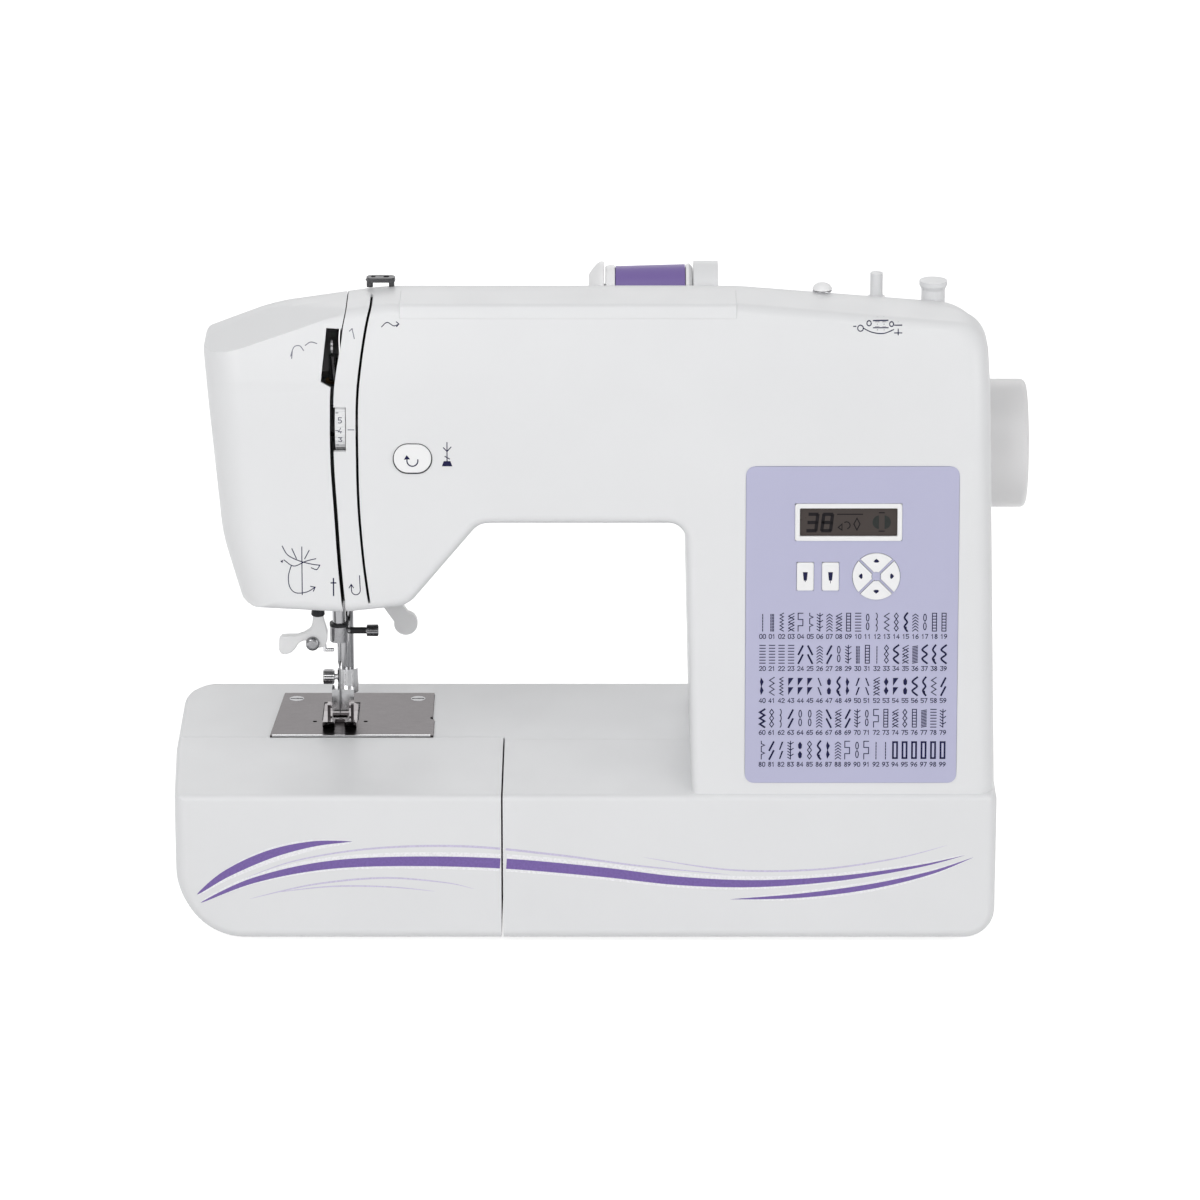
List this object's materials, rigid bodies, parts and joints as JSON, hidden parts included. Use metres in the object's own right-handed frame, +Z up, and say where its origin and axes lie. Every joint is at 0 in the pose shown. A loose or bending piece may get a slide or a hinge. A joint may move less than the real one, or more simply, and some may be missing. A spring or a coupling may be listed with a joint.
{
  "type": "computerised sewing machine",
  "caption": "Electronic free-arm sewing machine with handwheel, needle and presser mechanism, control panel, thread spool, carrying handle and sliding extension table.",
  "frame": {"origin": "centre of the bounding box in plan, at the underside of the rubber feet", "axes": "+X from the free arm's end to the handwheel, +Y from the operator to the back, +Z up"},
  "size_m": [0.397, 0.16, 0.3013],
  "materials": {
    "shell": "satin white moulding",
    "underside": "matte pale grey",
    "wheel_grey": "satin pale grey",
    "lavender_film": "matte printed film",
    "display": "gloss",
    "board": "matte",
    "polished_steel": "polished",
    "steel": "brushed",
    "dark_steel": "dark satin",
    "frame_metal": "cast",
    "bronze": "sintered",
    "rubber": "matte",
    "black_plastic": "matte",
    "bobbin_clear": "clear gloss",
    "lamp": "diffusing",
    "thread": "wound thread"
  },
  "bodies": {
    "chassis": {"base_plate": "underside", "front_housing": "shell", "rear_housing": "shell", "face_cover": "shell", "free_arm_shell": "shell", "control_panel": "lavender_film", "lcd_bezel": "shell", "lcd_screen": "display", "control_board": "board", "needle_plate": "polished_steel", "screws": "steel", "rubber_feet": "rubber", "machine_frame": "frame_metal", "bushes": "bronze", "drive_motor": "dark_steel", "stepper_motors": "steel", "motor_belt": "rubber", "timing_belt": "rubber", "hook_race": "dark_steel", "tension_discs": "steel", "thread_guides": "steel", "led_lamp": "lamp", "power_socket": "black_plastic", "winder_stopper": "shell", "spool_holder": "shell", "bobbin_case": "steel"},
    "drive": {"handwheel": "wheel_grey", "main_shaft": "steel", "shaft_pulleys": "dark_steel"},
    "motor_rotor": {"motor_pulley": "steel"},
    "lower_drive": {"lower_shaft": "steel"},
    "hook": {"shuttle_hook": "steel"},
    "bobbin_reel": {"bobbin": "bobbin_clear"},
    "needle_group": {"needle_bar": "polished_steel", "needle_clamp": "dark_steel", "needle": "polished_steel"},
    "take_up": {"take_up_lever": "steel"},
    "presser": {"presser_bar": "polished_steel", "foot_holder": "polished_steel"},
    "foot": {"presser_foot": "polished_steel"},
    "lifter": {"presser_lever": "shell"},
    "threader": {"needle_threader": "shell"},
    "reverse_key": {"reverse_button": "shell"},
    "left_key": {"left_button": "shell"},
    "right_key": {"right_button": "shell"},
    "up_key": {"arrow_up": "shell"},
    "down_key": {"arrow_down": "shell"},
    "leftward_key": {"arrow_left": "shell"},
    "rightward_key": {"arrow_right": "shell"},
    "dial": {"tension_dial": "shell"},
    "winder": {"winder_carriage": "shell"},
    "winder_reel": {"winder_spindle": "shell"},
    "spool": {"thread_spool": "thread"},
    "cap": {"spool_cap": "shell"},
    "handle": {"carrying_handle": "shell"},
    "table": {"extension_table": "shell"},
    "door": {"bobbin_door": "shell"},
    "feed": {"feed_dog": "steel"},
    "feed_lever": {"feed_drop_lever": "shell"},
    "switch": {"power_switch": "black_plastic"}
  },
  "joints": [
    {"name": "handwheel_turn", "type": "hinge", "parent": "chassis", "child": "drive", "pos_m": [0, 0.0201, 0.2125], "axis": [1, 0, 0], "continuous": true},
    {"name": "motor_turn", "type": "hinge", "parent": "chassis", "child": "motor_rotor", "pos_m": [0, -0.028, 0.108], "axis": [1, 0, 0], "continuous": true},
    {"name": "lower_shaft_turn", "type": "hinge", "parent": "chassis", "child": "lower_drive", "pos_m": [0, 0.0481, 0.045], "axis": [1, 0, 0], "continuous": true},
    {"name": "hook_swing", "type": "hinge", "parent": "chassis", "child": "hook", "pos_m": [-0.1229, 0, 0.045], "axis": [0, 1, 0], "range_deg": [-100, 100]},
    {"name": "bobbin_turn", "type": "hinge", "parent": "chassis", "child": "bobbin_reel", "pos_m": [-0.1229, 0, 0.045], "axis": [0, 1, 0], "continuous": true},
    {"name": "needle_bar_stroke", "type": "slide", "parent": "chassis", "child": "needle_group", "axis": [0, 0, 1], "range_m": [-0.016, 0.013]},
    {"name": "take_up_swing", "type": "hinge", "parent": "chassis", "child": "take_up", "pos_m": [-0.1217, -0.0105, 0.253], "axis": [1, 0, 0], "range_deg": [0, 48]},
    {"name": "presser_lift", "type": "slide", "parent": "chassis", "child": "presser", "axis": [0, 0, 1], "range_m": [0, 0.006]},
    {"name": "presser_lever_lift", "type": "hinge", "parent": "chassis", "child": "lifter", "pos_m": [-0.1099, 0.0381, 0.144], "axis": [0, -1, 0], "range_deg": [0, 50]},
    {"name": "foot_tilt", "type": "hinge", "parent": "presser", "child": "foot", "pos_m": [-0.1229, 0.0259, 0.0794], "axis": [-1, 0, 0], "range_deg": [0, 8]},
    {"name": "threader_pull", "type": "slide", "parent": "chassis", "child": "threader", "axis": [0, 0, -1], "range_m": [0, 0.018], "stiffness_N_per_m": 8, "springref_m": -0.012},
    {"name": "left_press", "type": "slide", "parent": "chassis", "child": "left_key", "axis": [0, 0.9932, -0.1162], "range_m": [0, 0.001], "stiffness_N_per_m": 300},
    {"name": "right_press", "type": "slide", "parent": "chassis", "child": "right_key", "axis": [0, 0.9932, -0.1162], "range_m": [0, 0.001], "stiffness_N_per_m": 300},
    {"name": "up_press", "type": "slide", "parent": "chassis", "child": "up_key", "axis": [0, 0.9932, -0.1162], "range_m": [0, 0.001], "stiffness_N_per_m": 300},
    {"name": "down_press", "type": "slide", "parent": "chassis", "child": "down_key", "axis": [0, 0.9932, -0.1162], "range_m": [0, 0.001], "stiffness_N_per_m": 300},
    {"name": "leftward_press", "type": "slide", "parent": "chassis", "child": "leftward_key", "axis": [0, 0.9932, -0.1162], "range_m": [0, 0.001], "stiffness_N_per_m": 300},
    {"name": "rightward_press", "type": "slide", "parent": "chassis", "child": "rightward_key", "axis": [0, 0.9932, -0.1162], "range_m": [0, 0.001], "stiffness_N_per_m": 300},
    {"name": "reverse_press", "type": "slide", "parent": "chassis", "child": "reverse_key", "axis": [0, 0.9932, -0.1162], "range_m": [0, 0.003], "stiffness_N_per_m": 250},
    {"name": "tension_dial_turn", "type": "hinge", "parent": "chassis", "child": "dial", "pos_m": [-0.118, -0.0456, 0.2431], "axis": [1, 0, 0], "range_deg": [-140, 140]},
    {"name": "winder_shift", "type": "slide", "parent": "chassis", "child": "winder", "axis": [1, 0, 0], "range_m": [0, 0.008]},
    {"name": "winder_spin", "type": "hinge", "parent": "winder", "child": "winder_reel", "pos_m": [0.1275, 0.0101, 0.285], "axis": [0, 0, 1], "continuous": true},
    {"name": "spool_turn", "type": "hinge", "parent": "chassis", "child": "spool", "pos_m": [0, 0.0281, 0.2845], "axis": [1, 0, 0], "continuous": true},
    {"name": "cap_pull", "type": "slide", "parent": "chassis", "child": "cap", "axis": [-1, 0, 0], "range_m": [0, 0.008]},
    {"name": "handle_swing", "type": "hinge", "parent": "chassis", "child": "handle", "pos_m": [0, 0.066, 0.2435], "axis": [1, 0, 0], "range_deg": [0, 180]},
    {"name": "table_pull", "type": "slide", "parent": "chassis", "child": "table", "axis": [-1, 0, 0], "range_m": [0, 0.16]},
    {"name": "door_open", "type": "hinge", "parent": "chassis", "child": "door", "pos_m": [0, 0.0012, 0.0246], "axis": [1, 0, 0], "range_deg": [0, 85]},
    {"name": "feed_lever_shift", "type": "slide", "parent": "chassis", "child": "feed_lever", "axis": [1, 0, 0], "range_m": [0, 0.008]},
    {"name": "feed_drop", "type": "slide", "parent": "chassis", "child": "feed", "axis": [0, 0, 1], "range_m": [-0.0024, 0]},
    {"name": "power_rock", "type": "hinge", "parent": "chassis", "child": "switch", "pos_m": [0.1715, 0, 0.031], "axis": [0, 1, 0], "range_deg": [-11, 0]}
  ],
  "couplings": [
    {"joint": "motor_turn", "follows": "handwheel_turn", "ratio": 3.7143},
    {"joint": "lower_shaft_turn", "follows": "handwheel_turn", "ratio": 1},
    {"joint": "presser_lever_lift", "follows": "presser_lift", "rad_per_m": 145.44},
    {"joint": "feed_drop", "follows": "feed_lever_shift", "ratio": -0.3}
  ]
}
